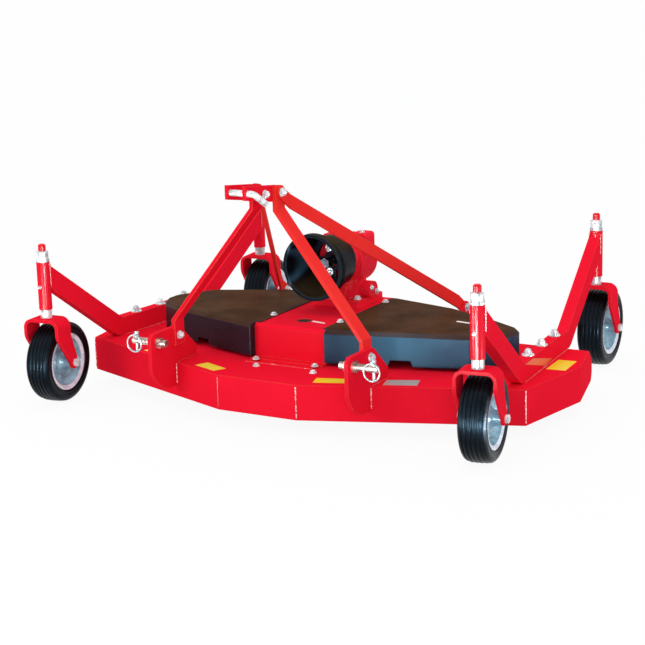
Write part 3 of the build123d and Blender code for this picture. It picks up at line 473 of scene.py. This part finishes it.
def tyre_section():
    """Half width 42 mm, radius 130 mm: six crowned ribs on the tread, a ring on each sidewall."""
    half = [
        (0.0375, rim_edge + 0.0005), (0.0400, rim_edge + 0.0020), (0.0412, rim_edge + 0.0050),
        (0.0418, rim_edge + 0.0085), (0.0405, rim_edge + 0.0100), (0.0405, rim_edge + 0.0125),
        (0.0419, rim_edge + 0.0140), (0.0418, 0.1120), (0.0410, 0.1165), (0.0392, 0.1205),
        (0.0362, 0.1242), (0.0325, 0.1266), (0.0284, 0.1274),
    ]
    tread = []
    for across in (0.0260, 0.0130, 0.0, -0.0130, -0.0260):
        crown = 0.1284 - 1.7 * across * across
        tread += [
            (across + 0.0016, crown), (across + 0.0008, crown - 0.0022),
            (across - 0.0008, crown - 0.0022), (across - 0.0016, crown),
        ]
        if across > -0.026:
            middle = across - 0.0065
            for share in (0.7, 0.35, 0.0, -0.35, -0.7):
                tread.append((middle + share * 0.0049, crown + 0.0014 * (1 - share * share)))
    mirrored = [(-across, radius) for across, radius in reversed(half)]
    return half + tread + mirrored + [(-0.030, rim_edge + 0.0005), (0.030, rim_edge + 0.0005)]


def rim_section():
    """Hub, dished web with a raised ring, and a rolled flange."""
    half = [
        (0.0537, 0.0150), (0.0537, 0.0200), (0.0528, 0.0215), (0.0400, 0.0222),
        (0.0300, 0.0240), (0.0235, 0.0285), (0.0205, 0.0340), (0.0200, 0.0440),
        (0.0222, 0.0475), (0.0245, 0.0500), (0.0245, 0.0530), (0.0215, 0.0560),
        (0.0190, 0.0600), (0.0190, 0.0660), (0.0215, 0.0710), (0.0290, 0.0755),
        (0.0340, 0.0780), (0.0352, 0.0825), (0.0380, 0.0852), (0.0394, rim_edge - 0.0035),
        (0.0385, rim_edge - 0.0007), (0.0360, rim_edge - 0.0003),
    ]
    mirrored = [(-along, radius) for along, radius in reversed(half)]
    return half + mirrored + [(-0.0537, 0.0082), (0.0537, 0.0082)]


joints = {joint["name"]: joint for joint in frame["record"]["behaviour"]["joints"]}
for caster in CASTERS:
    spin = joints[f"wheel_spin_{caster}"]
    tyre = turned_mesh("ribbed tyre", tyre_section(), spin["pos_m"], spin["axis"], 96, tyre_black, 50)
    piece = keep_piece(f"ribbed_tyre_{caster}", tyre, f"wheel_{caster}")
    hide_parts(f"tyre_{caster}")
    rim = turned_mesh("pressed rim", rim_section(), spin["pos_m"], spin["axis"], 72, dish_zinc, 45)
    rim.materials.append(lip_zinc)
    for face in rim.polygons:
        reach = (face.center - Vector(spin["pos_m"])).cross(Vector(spin["axis"])).length
        face.material_index = 1 if reach > 0.079 else 0
    piece = keep_piece(f"pressed_rim_{caster}", rim, f"wheel_{caster}")
    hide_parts(f"rim_{caster}")


# Fasteners: hexagon heads with washers, set on points that know which way they face

def geometry_tree(name, first, lengths, last):
    tree = bpy.data.node_groups.new(name, "GeometryNodeTree")
    tree.interface.new_socket(first, in_out="INPUT", socket_type="NodeSocketGeometry")
    for label, value in lengths:
        socket = tree.interface.new_socket(label, in_out="INPUT", socket_type="NodeSocketFloat")
        socket.default_value = value
    tree.interface.new_socket(last, in_out="OUTPUT", socket_type="NodeSocketGeometry")
    return tree, add(tree, "NodeGroupInput"), add(tree, "NodeGroupOutput")


def raised(tree, piece, *heights):
    """The piece moved up by the sum of the heights."""
    total = heights[0]
    for height in heights[1:]:
        total = number(tree, "ADD", total, height)
    offset = add(tree, "ShaderNodeCombineXYZ")
    feed(tree, offset.inputs["Z"], total)
    move = add(tree, "GeometryNodeTransform")
    feed(tree, move.inputs["Geometry"], piece)
    feed(tree, move.inputs["Translation"], offset.outputs[0])
    return move.outputs[0]


def fastener_tree():
    sizes = (
        ("Head radius", 0.009), ("Head height", 0.006), ("Washer radius", 0.012),
        ("Washer height", 0.002), ("Thread radius", 0.004), ("Thread length", 0.0),
    )
    tree, given, made = geometry_tree("hexagon fasteners", "Places", sizes, "Fasteners")
    size = given.outputs
    washer = add(tree, "GeometryNodeMeshCylinder")
    washer.inputs["Vertices"].default_value = 24
    feed(tree, washer.inputs["Radius"], size["Washer radius"])
    feed(tree, washer.inputs["Depth"], size["Washer height"])
    half_washer = number(tree, "MULTIPLY", size["Washer height"], 0.5)
    head = add(tree, "GeometryNodeMeshCylinder")
    head.inputs["Vertices"].default_value = 6
    feed(tree, head.inputs["Radius"], size["Head radius"])
    feed(tree, head.inputs["Depth"], size["Head height"])
    half_head = number(tree, "MULTIPLY", size["Head height"], 0.5)
    crown = add(tree, "GeometryNodeMeshCone")
    crown.inputs["Vertices"].default_value = 24
    feed(tree, crown.inputs["Radius Bottom"], number(tree, "MULTIPLY", size["Head radius"], 0.86))
    feed(tree, crown.inputs["Radius Top"], number(tree, "MULTIPLY", size["Head radius"], 0.70))
    feed(tree, crown.inputs["Depth"], number(tree, "MULTIPLY", size["Head height"], 0.14))
    thread = add(tree, "GeometryNodeMeshCylinder")
    thread.inputs["Vertices"].default_value = 16
    feed(tree, thread.inputs["Radius"], size["Thread radius"])
    feed(tree, thread.inputs["Depth"], number(tree, "ADD", size["Thread length"], 0.001))
    half_thread = number(tree, "MULTIPLY", size["Thread length"], 0.5)
    ball = add(tree, "GeometryNodeMeshUVSphere")
    ball.inputs["Segments"].default_value = 16
    ball.inputs["Rings"].default_value = 8
    feed(tree, ball.inputs["Radius"], size["Thread radius"])
    dome = add(tree, "GeometryNodeTransform")
    feed(tree, dome.inputs["Geometry"], ball.outputs["Mesh"])
    dome.inputs["Scale"].default_value = (1, 1, 0.7)
    rounding = add(tree, "GeometryNodeSetShadeSmooth")
    feed(tree, rounding.inputs["Geometry"], dome.outputs[0])
    join = add(tree, "GeometryNodeJoinGeometry")
    for part in (
        raised(tree, washer.outputs["Mesh"], half_washer),
        raised(tree, head.outputs["Mesh"], size["Washer height"], half_head),
        raised(tree, crown.outputs["Mesh"], size["Washer height"], size["Head height"]),
        raised(tree, thread.outputs["Mesh"], size["Washer height"], size["Head height"], half_thread),
        raised(tree, rounding.outputs[0], size["Washer height"], size["Head height"], size["Thread length"]),
    ):
        tree.links.new(part, join.inputs[0])
    facing = add(tree, "GeometryNodeInputNamedAttribute", data_type="FLOAT_VECTOR")
    facing.inputs["Name"].default_value = "facing"
    align = add(tree, "FunctionNodeAlignRotationToVector", axis="Z")
    feed(tree, align.inputs["Vector"], facing.outputs[0])
    chance = add(tree, "FunctionNodeRandomValue", data_type="FLOAT")
    floats = [socket for socket in chance.inputs if socket.type == "VALUE"]
    floats[1].default_value = pi / 3
    chance.inputs["Seed"].default_value = 4
    spin = add(tree, "FunctionNodeRotateRotation", rotation_space="LOCAL")
    turn = add(tree, "FunctionNodeAxisAngleToRotation")
    chance_value = [socket for socket in chance.outputs if socket.type == "VALUE"][0]
    feed(tree, turn.inputs["Angle"], chance_value)
    feed(tree, spin.inputs[0], align.outputs[0])
    feed(tree, spin.inputs[1], turn.outputs[0])
    place = add(tree, "GeometryNodeInstanceOnPoints")
    feed(tree, place.inputs["Points"], given.outputs[0])
    feed(tree, place.inputs["Instance"], join.outputs[0])
    feed(tree, place.inputs["Rotation"], spin.outputs[0])
    real = add(tree, "GeometryNodeRealizeInstances")
    feed(tree, real.inputs[0], place.outputs[0])
    coat = add(tree, "GeometryNodeSetMaterial")
    coat.inputs["Material"].default_value = zinc
    feed(tree, coat.inputs["Geometry"], real.outputs[0])
    feed(tree, made.inputs[0], coat.outputs[0])
    return tree


def run_tree(tree, name, mesh, body, sizes):
    """The tree's result on a mesh of points or lines, as a plain mesh that rides on a body."""
    source = bpy.data.objects.new(name, mesh)
    scene.collection.objects.link(source)
    modifier = source.modifiers.new("make", "NODES")
    modifier.node_group = tree
    names = {item.name: item.identifier for item in tree.interface.items_tree if item.in_out == "INPUT"}
    for label, value in sizes.items():
        modifier[names[label]] = value
    bpy.context.view_layer.update()
    evaluated = source.evaluated_get(bpy.context.evaluated_depsgraph_get())
    result = bpy.data.meshes.new_from_object(evaluated)
    source.modifiers.clear()
    bpy.data.objects.remove(source)
    return keep_piece(name, result, body)


hexagons = fastener_tree()


def fasteners(name, places, body="frame", **sizes):
    """places: x, y, z and the direction that the head faces."""
    mesh = bpy.data.meshes.new(name)
    mesh.from_pydata([place[:3] for place in places], [], [])
    facing = mesh.attributes.new("facing", "FLOAT_VECTOR", "POINT")
    for index, place in enumerate(places):
        facing.data[index].vector = place[3:]
    labels = {key.replace("_", " ").capitalize(): value for key, value in sizes.items()}
    return run_tree(hexagons, name, mesh, body, labels)


def ring(centre, normal, radius, count, start=0.0):
    """Points evenly round a circle, each facing along the normal."""
    normal = Vector(normal)
    first = Vector((0, 0, 1)) if abs(normal.z) < 0.9 else Vector((1, 0, 0))
    second = normal.cross(first)
    out = []
    for step in range(count):
        angle = radians(start) + 2 * pi * step / count
        point = Vector(centre) + (first * cos(angle) + second * sin(angle)) * radius
        out.append((*point, *normal))
    return out


def beam_centre(side, y):
    """Where a side beam's centre line lies at y."""
    return side * (0.754 - 0.099 * (y + 0.606) / 1.114)


UP = (0, 0, 1)
beam_bolts = [
    (beam_centre(side, y), y, beam_top, *UP) for _, side in SIDES for y in (-0.183, -0.058, 0.067)
]
fasteners(
    "beam_nuts", beam_bolts, Head_radius=0.0125, Head_height=0.009, Washer_radius=0.0185,
    Washer_height=0.0032, Thread_radius=0.0095, Thread_length=0.003,
)

deck_bolts = [
    (-0.119, -0.376, tunnel_top - 0.105, *UP), (0.093, -0.376, tunnel_top - 0.105, *UP),
    (-0.085, -0.430, deck_top, *UP), (0.118, -0.430, deck_top, *UP),
    (0.104, -0.231, cover_top, *UP), (0.104, 0.065, cover_top, *UP),
    (-0.139, -0.231, cover_top, *UP), (-0.139, 0.065, cover_top, *UP),
]
fasteners("deck_bolts", deck_bolts, Head_radius=0.0085, Head_height=0.0055, Washer_radius=0.0115)

stand_bolts = [
    (shaft_x + across, 0.044 + along, tunnel_top + 0.022, *UP)
    for across in (-0.061, 0.061)
    for along in (-0.050, 0.050)
]
fasteners("stand_bolts", stand_bolts, Head_radius=0.0105, Head_height=0.008, Washer_radius=0.013)

mast_bolts = []
for _, side in SIDES:
    outward, inward = (side, 0, 0), (-side, 0, 0)
    mast_bolts += [
        (side * 0.349, 0.162, 0.252, *outward), (side * 0.331, 0.162, 0.252, *inward),
        (side * 0.351, -0.488, 0.243, *outward), (side * 0.327, -0.488, 0.243, *inward),
        (side * 0.055, -0.470, 0.711, *outward), (side * 0.035, -0.533, 0.713, *outward),
    ]
fasteners(
    "mast_bolts", mast_bolts, Head_radius=0.0115, Head_height=0.008, Washer_radius=0.0135,
    Thread_radius=0.006, Thread_length=0.003,
)

rear_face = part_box("gearbox")[1].y
gearbox_bolts = ring((shaft_x, rear_face, 0.405), (0, 1, 0), 0.056, 6, 30)
gearbox_bolts += [(0.040, 0.036, 0.498, *UP), (-0.066, 0.036, 0.490, *UP)]
gearbox_bolts += [(0.073, 0.030, 0.320, 1, 0, 0), (0.073, 0.060, 0.302, 1, 0, 0)]
fasteners(
    "gearbox_bolts", gearbox_bolts, Head_radius=0.0072, Head_height=0.005, Washer_radius=0.009,
    Washer_height=0.0014,
)

guard_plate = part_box("pto_guard")[0].y + 0.132
guard_bolts = [
    (shaft_x - 0.014, guard_plate, shaft_z + 0.040, 0, -1, 0),
    (shaft_x - 0.012, guard_plate, shaft_z - 0.038, 0, -1, 0),
]
fasteners("guard_bolts", guard_bolts, Head_radius=0.007, Head_height=0.006, Washer_radius=0.0125)

under_bolts = []
for blade in BLADES:
    low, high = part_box(f"spindle_housing_{blade}")
    middle = ((low.x + high.x) / 2, (low.y + high.y) / 2, 0.144)
    under_bolts += ring(middle, (0, 0, -1), 0.062, 6, 15)
fasteners("housing_bolts", under_bolts, Head_radius=0.008, Head_height=0.0055, Washer_radius=0.010)


# Weld beads: lines that become rippled rods

def weld_tree(finish, name):
    lengths = (("Bead radius", 0.003), ("Ripple length", 0.004))
    tree, given, made = geometry_tree(name, "Lines", lengths, "Beads")
    curve = add(tree, "GeometryNodeMeshToCurve")
    feed(tree, curve.inputs[0], given.outputs[0])
    even = add(tree, "GeometryNodeResampleCurve")
    even.mode = "LENGTH"
    feed(tree, even.inputs["Curve"], curve.outputs[0])
    feed(tree, even.inputs["Length"], number(tree, "MULTIPLY", given.outputs["Ripple length"], 0.34))
    along = add(tree, "GeometryNodeSplineParameter")
    turns = number(tree, "DIVIDE", along.outputs["Length"], given.outputs["Ripple length"])
    wave = number(tree, "SINE", number(tree, "MULTIPLY", turns, 2 * pi))
    width = number(tree, "MULTIPLY_ADD", wave, 0.16, 1.0)
    swell = add(tree, "GeometryNodeSetCurveRadius")
    feed(tree, swell.inputs["Curve"], even.outputs[0])
    feed(tree, swell.inputs["Radius"], width)
    circle = add(tree, "GeometryNodeCurvePrimitiveCircle")
    circle.inputs["Resolution"].default_value = 8
    feed(tree, circle.inputs["Radius"], given.outputs["Bead radius"])
    sweep = add(tree, "GeometryNodeCurveToMesh")
    feed(tree, sweep.inputs["Curve"], swell.outputs[0])
    feed(tree, sweep.inputs["Profile Curve"], circle.outputs[0])
    sweep.inputs["Fill Caps"].default_value = True
    if "Scale" in sweep.inputs:
        feed(tree, sweep.inputs["Scale"], width)
    smooth = add(tree, "GeometryNodeSetShadeSmooth")
    feed(tree, smooth.inputs["Geometry"], sweep.outputs[0])
    coat = add(tree, "GeometryNodeSetMaterial")
    coat.inputs["Material"].default_value = finish
    feed(tree, coat.inputs["Geometry"], smooth.outputs[0])
    feed(tree, made.inputs[0], coat.outputs[0])
    return tree


def beads(tree, name, lines, body="frame", slot="red_paint", **sizes):
    """lines: each a list of points that one bead follows."""
    points, edges = [], []
    for line in lines:
        first = len(points)
        points += [tuple(p) for p in line]
        edges += [(i, i + 1) for i in range(first, len(points) - 1)]
    mesh = bpy.data.meshes.new(name)
    mesh.from_pydata(points, edges, [])
    labels = {key.replace("_", " ").capitalize(): value for key, value in sizes.items()}
    return run_tree(tree, name, mesh, body, labels)


bare_beads = weld_tree(bare_weld, "bare weld beads")
red_beads = weld_tree(red_weld, "painted weld beads")


def skirt_y(x):
    """The front skirt's outer face at x, between the middle and the shoulder."""
    return -0.568 + (abs(x) - 0.138) / 0.639 * 0.232


corner_lines = []
for _, side in SIDES:
    corner_lines.append([(side * 0.7768, -0.3358, 0.150), (side * 0.7768, -0.3358, 0.052)])
    for x in (side * 0.3515, side * 0.3385):
        corner_lines.append([(x, skirt_y(x) - 0.0005, 0.150), (x, skirt_y(x) - 0.0005, 0.088)])
left_corner, right_corner = (
    [(x, -0.5675, 0.148), (x, -0.5675, 0.052)] for x in (-0.1385, 0.1385)
)
beads(bare_beads, "skirt_welds", [*corner_lines, right_corner], Bead_radius=0.0022)
beads(red_beads, "skirt_weld_left", [left_corner], Bead_radius=0.0022)

seam_lines = []
for _, side in SIDES:
    for x in (side * 0.352, side * 0.338):
        seam_lines.append([(x, skirt_y(x) + 0.004, deck_top), (x, -0.384, deck_top)])
    for off in (-0.0195, 0.0195):
        seam_lines.append([(beam_centre(side, y) + off, y, deck_top) for y in (-0.270, 0.140)])
    for x in (side * 0.3385, side * 0.3495):
        seam_lines.append([(x, 0.117, deck_top), (x, 0.146, deck_top)])
    for post_x, post_y, way in ((0.754, -0.606, 1), (0.655, 0.508, -1)):
        for off in (-0.019, 0.019):
            place = (side * post_x + off, post_y + way * 0.0105)
            seam_lines.append([(*place, 0.388), (*place, 0.456)])
seam_lines.append([(-0.146, -0.3955, deck_top), (0.112, -0.3955, deck_top)])
seam_lines.append([
    (-0.008 + 0.049 * cos(pi * k / 20), 0.044 + 0.049 * sin(pi * k / 20), tunnel_top + 0.022)
    for k in range(41)
])
beads(red_beads, "seam_welds", seam_lines, Bead_radius=0.0028)


# Labels, all blank: thin films on the surfaces

def film(name, corners, normal, finish, body="frame"):
    """A film 0.5 mm thick whose corners are given in order round it."""
    lift = Vector(normal).normalized() * 0.0005
    points = [Vector(c) for c in corners] + [Vector(c) + lift for c in corners]
    count = len(corners)
    faces = [tuple(range(count)), tuple(range(count, 2 * count))]
    faces += [(i, (i + 1) % count, count + (i + 1) % count, count + i) for i in range(count)]
    return keep_piece(name, mesh_from(name, points, faces, finish), body)


LABELS = (
    ("label_left", yellow_film, ((-0.266, -0.498), (-0.246, -0.457), (-0.155, -0.494), (-0.175, -0.532))),
    ("label_middle", yellow_film, ((0.172, -0.523), (0.157, -0.474), (0.240, -0.448), (0.262, -0.490))),
    ("label_small", yellow_film, ((-0.521, -0.415), (-0.515, -0.395), (-0.490, -0.399), (-0.496, -0.419))),
    ("label_silver", silver_film, ((0.375, -0.462), (0.360, -0.408), (0.452, -0.370), (0.470, -0.425))),
    ("label_right", yellow_film, ((0.740, -0.103), (0.732, 0.010), (0.790, 0.016), (0.800, -0.097))),
)
for name, finish, corners in LABELS:
    film(name, [(x, y, deck_top) for x, y in corners], UP, finish)
beam_label = [(-0.262, 0.208), (-0.190, 0.208), (-0.009, 0.163), (-0.078, 0.157)]
beam_corners = [(beam_centre(1, y) + 0.0187, y, z) for y, z in beam_label]
film("label_beam", beam_corners, (1, 0.089, 0), orange_film)
tunnel_label = [(0.012, -0.252), (0.012, -0.240), (0.062, -0.250), (0.062, -0.260)]
film("label_tunnel", [(x, y, tunnel_top) for x, y in tunnel_label], UP, pale_film)
strip = [(0.432, -0.086), (0.432, -0.074), (0.480, -0.082), (0.480, -0.094)]
film("cover_strip", [(x, y, cover_top) for x, y in strip], UP, pale_film)


# A black plug in the hole of the belt tunnel

PLUG = (
    (-0.004, 0.0), (-0.004, 0.0236), (-0.0025, 0.0236), (-0.0015, 0.0215), (-0.003, 0.0190),
    (-0.002, 0.0),
)
plug = turned_mesh("peephole plug", PLUG, (-0.017, -0.246, tunnel_top), UP, 40, guard_black)
keep_piece("peephole_plug", plug, "frame")


# Grease nipples on the caster tubes

NIPPLE = (
    (-0.003, 0.0), (-0.003, 0.0055), (0.002, 0.0055), (0.002, 0.0035), (0.006, 0.0030),
    (0.0075, 0.0042), (0.010, 0.0036), (0.0115, 0.0018), (0.0115, 0.0),
)
for caster in CASTERS:
    swivel = joints[f"swivel_{caster}"]["pos_m"]
    facing = Vector((0, -1, 0)) if caster.startswith("front") else Vector((0, 1, 0))
    base = Vector((swivel[0], swivel[1], 0.385)) + facing * 0.021
    nipple = turned_mesh("grease nipple", NIPPLE, base, facing, 16, zinc)
    keep_piece(f"grease_nipple_{caster}", nipple, "frame")


# Floor and light

def make_floor():
    mesh = bpy.data.meshes.new("floor")
    corners = [(x * 30, y * 30, 0) for x, y in ((-1, -1), (1, -1), (1, 1), (-1, 1))]
    mesh.from_pydata(corners, [], [(0, 1, 2, 3)])
    floor = bpy.data.objects.new("floor", mesh)
    scene.collection.objects.link(floor)
    material = bpy.data.materials.new("pale floor")
    material.use_nodes = True
    tree = material.node_tree
    shader = tree.nodes["Principled BSDF"]
    shader.inputs["Base Color"].default_value = (0.8, 0.8, 0.8, 1)
    shader.inputs["Roughness"].default_value = 0.9
    shader.inputs["Specular IOR Level"].default_value = 0.0
    white = add(tree, "ShaderNodeEmission")
    white.inputs["Color"].default_value = (1, 1, 1, 1)
    white.inputs["Strength"].default_value = 1.0
    path = add(tree, "ShaderNodeLightPath")
    seen = number(tree, "MAXIMUM", path.outputs["Is Camera Ray"], path.outputs["Is Transmission Ray"])
    seen = number(tree, "MAXIMUM", seen, path.outputs["Is Glossy Ray"])
    seen = number(tree, "MULTIPLY", seen, 0.93)
    mix = add(tree, "ShaderNodeMixShader")
    feed(tree, mix.inputs[0], seen)
    tree.links.new(shader.outputs[0], mix.inputs[1])
    tree.links.new(white.outputs[0], mix.inputs[2])
    tree.links.new(mix.outputs[0], tree.nodes["Material Output"].inputs["Surface"])
    mesh.materials.append(material)
    floor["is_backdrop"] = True


def make_world():
    world = bpy.data.worlds.new("studio")
    scene.world = world
    world.use_nodes = True
    tree = world.node_tree
    light = tree.nodes["Background"]
    light.inputs["Color"].default_value = (0.96, 0.98, 1.0, 1)
    light.inputs["Strength"].default_value = 1.05
    white = add(tree, "ShaderNodeBackground")
    white.inputs["Color"].default_value = (1, 1, 1, 1)
    white.inputs["Strength"].default_value = 1.0
    path = add(tree, "ShaderNodeLightPath")
    seen = number(tree, "MAXIMUM", path.outputs["Is Camera Ray"], path.outputs["Is Transmission Ray"])
    seen = number(tree, "MAXIMUM", seen, path.outputs["Is Glossy Ray"])
    mix = add(tree, "ShaderNodeMixShader")
    tree.links.new(seen, mix.inputs[0])
    tree.links.new(light.outputs[0], mix.inputs[1])
    tree.links.new(white.outputs[0], mix.inputs[2])
    tree.links.new(mix.outputs[0], tree.nodes["World Output"].inputs["Surface"])


def add_lamp(name, place, aim, size, power, colour=(1, 1, 1), shine_only=False):
    data = bpy.data.lights.new(name, "AREA")
    data.shape = "SQUARE"
    data.size = size
    data.energy = power
    data.color = colour
    lamp = bpy.data.objects.new(name, data)
    scene.collection.objects.link(lamp)
    lamp.location = place
    lamp.rotation_mode = "QUATERNION"
    lamp.rotation_quaternion = (Vector(aim) - Vector(place)).to_track_quat("-Z", "Y")
    lamp.visible_diffuse = not shine_only
    lamp.visible_camera = False


make_floor()
make_world()
add_lamp("flash", (3.2, -4.9, 1.9), (0, 0, 0.25), 0.8, 30)
add_lamp("left fill", (-1.9, -4.6, 2.2), (0, 0, 0.2), 1.6, 42)
add_lamp("overhead", (-0.3, -0.6, 4.6), (0, 0, 0), 3.0, 20)
add_lamp("right card", (0.95, -1.95, 0.02), (0.95, -1.95, 1.0), 0.9, 560, shine_only=True)
add_lamp("left card", (-0.50, -1.80, 0.02), (-0.50, -1.80, 1.0), 0.8, 250, shine_only=True)
add_lamp("side card", (1.45, -0.55, 0.02), (1.45, -0.55, 1.0), 0.6, 180, shine_only=True)

low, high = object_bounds()
